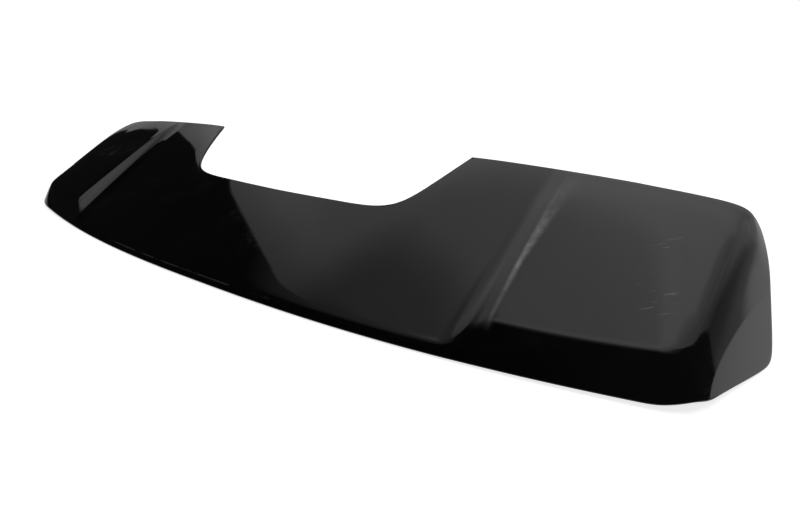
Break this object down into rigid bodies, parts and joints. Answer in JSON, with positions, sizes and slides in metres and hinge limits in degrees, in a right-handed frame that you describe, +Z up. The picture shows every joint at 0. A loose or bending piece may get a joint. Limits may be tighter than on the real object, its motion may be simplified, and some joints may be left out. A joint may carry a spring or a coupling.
{
  "type": "car spoiler",
  "caption": "Rear roof spoiler: a thin, open-backed gloss black shell with two forward arms, a wide notch, raised side humps, a sunken channel and drooping side flanks.",
  "frame": {"origin": "centre plane, under the front edge of the channel, where the shell is bonded to the car", "axes": "+X to the car's right, +Y to the car's front, +Z up, as fitted to a level car"},
  "size_m": [1.1908, 0.2832, 0.102],
  "materials": {
    "black_lacquer": "high-gloss black lacquer over moulded plastic, with a few hairline scratches"
  },
  "bodies": {
    "root": {"spoiler_shell": "black_lacquer"}
  },
  "joints": []
}
